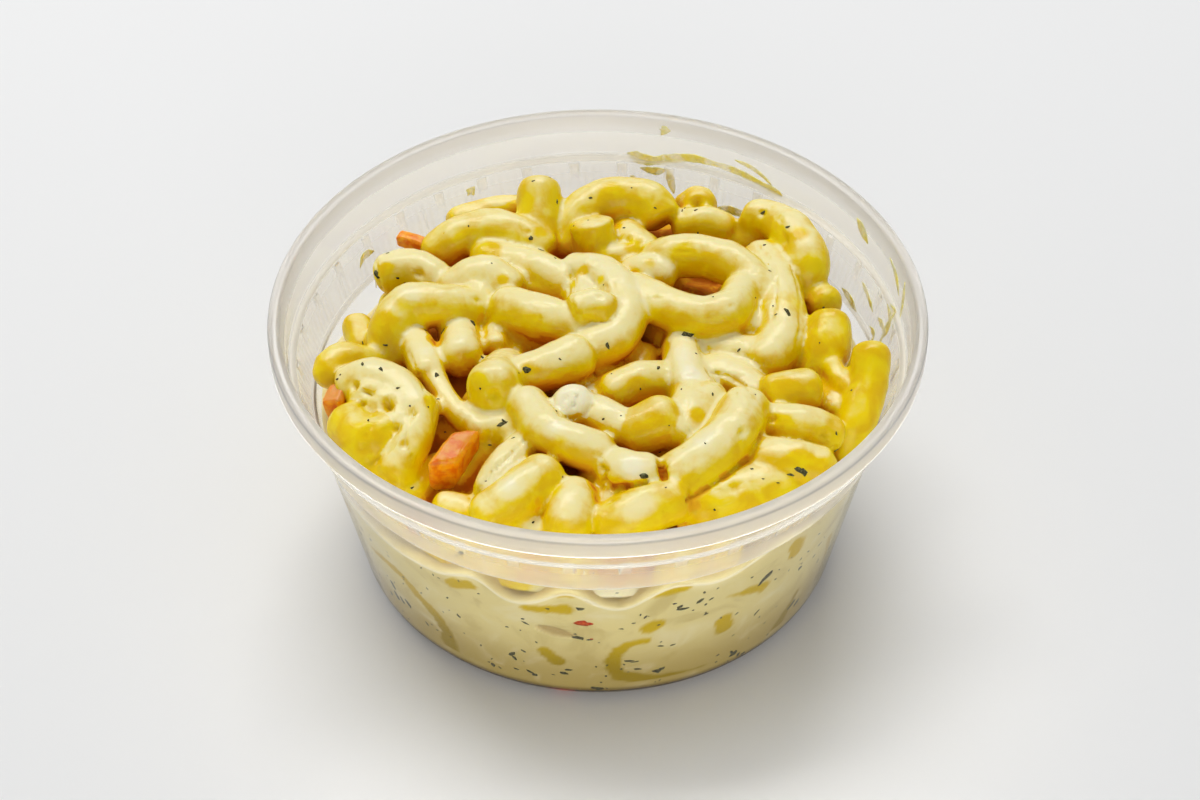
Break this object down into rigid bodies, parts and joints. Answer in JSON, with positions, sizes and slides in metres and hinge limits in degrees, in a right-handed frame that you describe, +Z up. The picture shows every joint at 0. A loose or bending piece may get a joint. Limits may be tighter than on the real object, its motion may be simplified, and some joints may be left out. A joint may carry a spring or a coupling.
{
  "type": "pasta salad",
  "caption": "Creamy elbow macaroni salad with diced carrot and herbs, filling a round clear plastic deli tub without its lid.",
  "frame": {"origin": "centre of the tub's base, on the surface it stands on", "axes": "+Z up through the tub's open top; -Y towards the viewer of the picture"},
  "size_m": [0.117, 0.117, 0.0544],
  "materials": {
    "clear_plastic": "clear, slightly warm grey moulded plastic",
    "dressed_macaroni": "cooked pasta, yellow, under a glossy cream dressing",
    "carrot": "raw diced carrot, wet"
  },
  "bodies": {
    "root": {"tub": "clear_plastic", "macaroni_salad": "dressed_macaroni", "carrot_cube_front": "carrot", "carrot_piece_left": "carrot", "carrot_strip_back": "carrot"}
  },
  "joints": []
}
